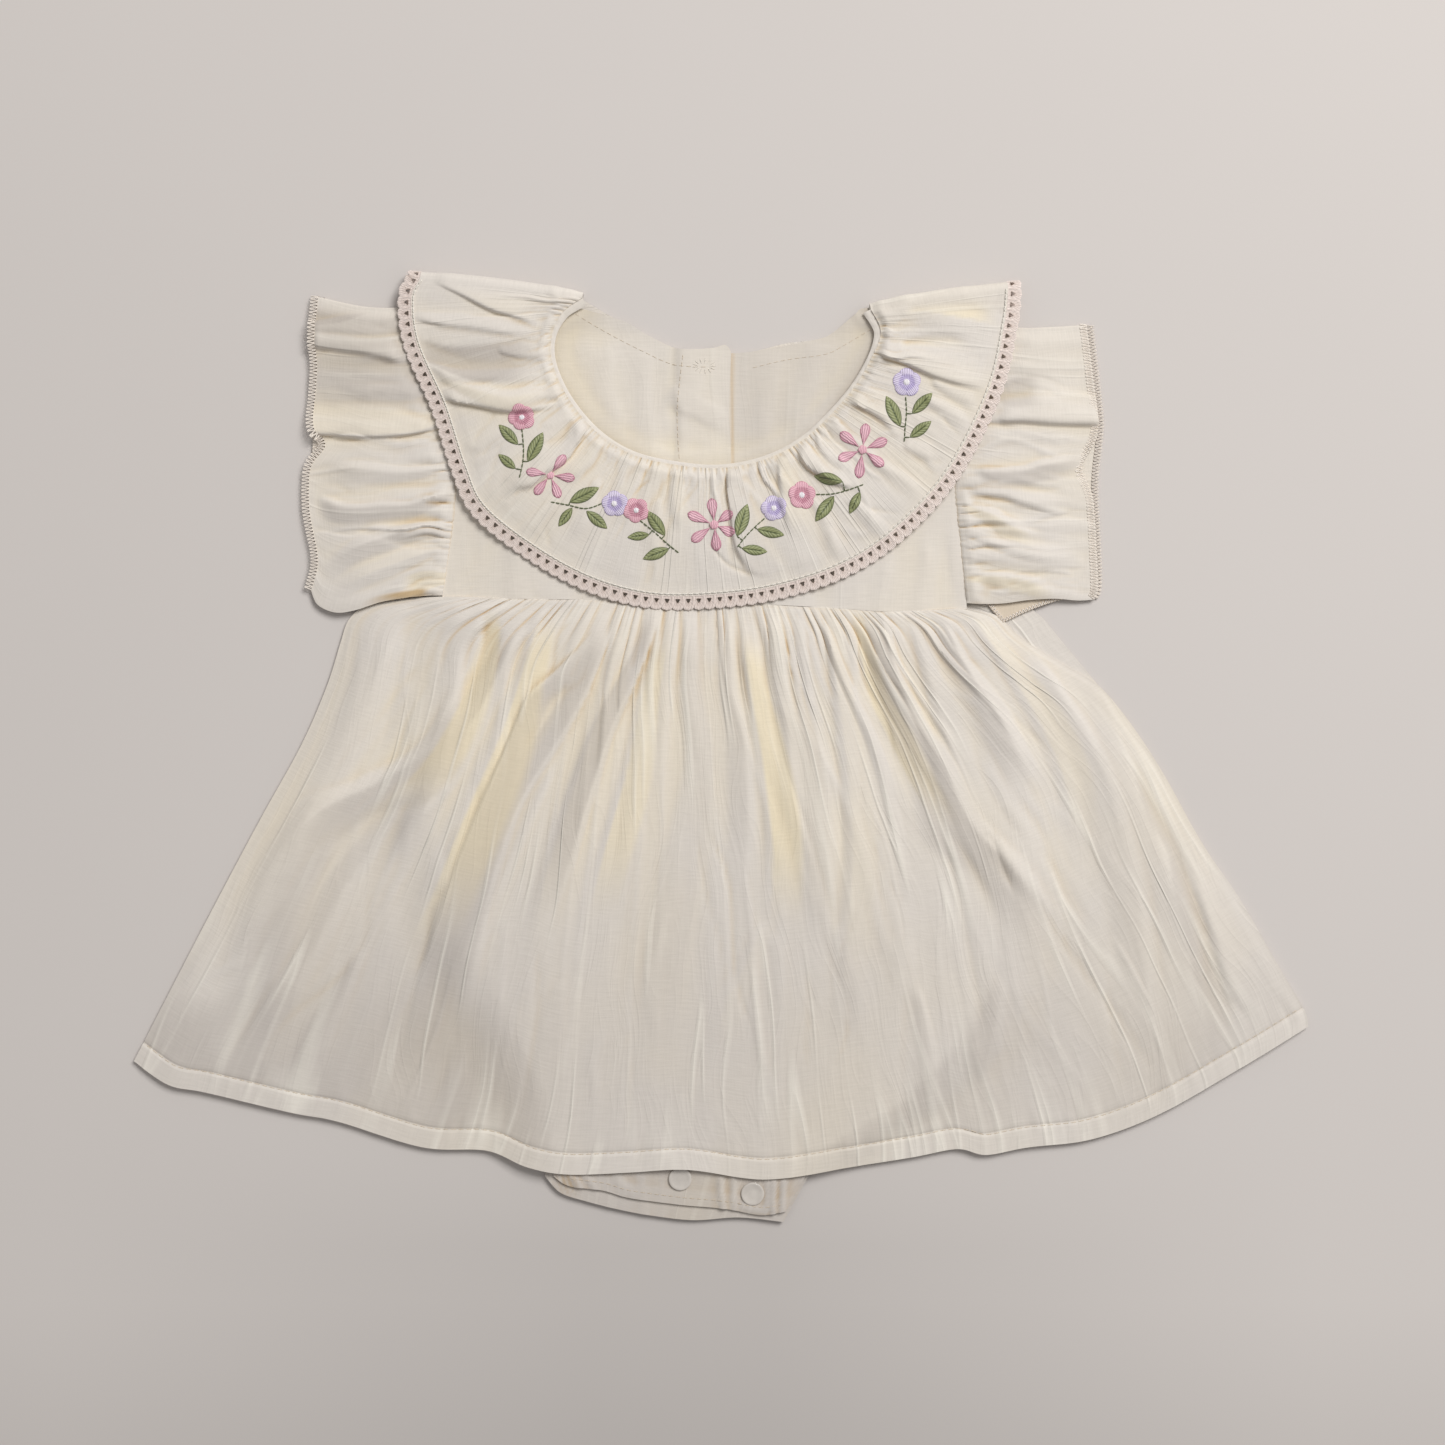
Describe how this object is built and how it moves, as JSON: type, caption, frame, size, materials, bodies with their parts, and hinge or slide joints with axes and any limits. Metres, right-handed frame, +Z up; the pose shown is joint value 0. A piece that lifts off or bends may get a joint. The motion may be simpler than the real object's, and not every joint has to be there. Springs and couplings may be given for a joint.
{
  "type": "baby romper",
  "caption": "Baby romper laid flat: gathered skirt over snap-crotch bloomers, plain bodice, flutter sleeves and a wide ruffle collar with scalloped lace",
  "frame": {"origin": "middle of the laid-out garment's outline, on the surface that it lies on", "axes": "+Z up from the surface, +Y towards the neck, +X across the garment to the right as seen from above"},
  "size_m": [0.5274, 0.427, 0.0146],
  "materials": {
    "cotton": "soft crinkled cotton, matte",
    "lace": "crocheted cotton edging, matte",
    "snap": "smooth moulded cap"
  },
  "bodies": {
    "root": {"skirt_back": "cotton", "skirt_front": "cotton", "bloomer_back": "cotton", "bloomer_front": "cotton", "bodice_back_left": "cotton", "bodice_back_right": "cotton", "bodice_front": "cotton", "collar_front": "cotton", "collar_back_left": "cotton", "collar_back_right": "cotton", "lace_front": "lace", "lace_back_left": "lace", "lace_back_right": "lace", "neck_binding": "cotton", "sleeve_left": "cotton", "sleeve_right": "cotton", "snap_cap_1": "snap", "snap_cap_2": "snap"}
  },
  "joints": []
}
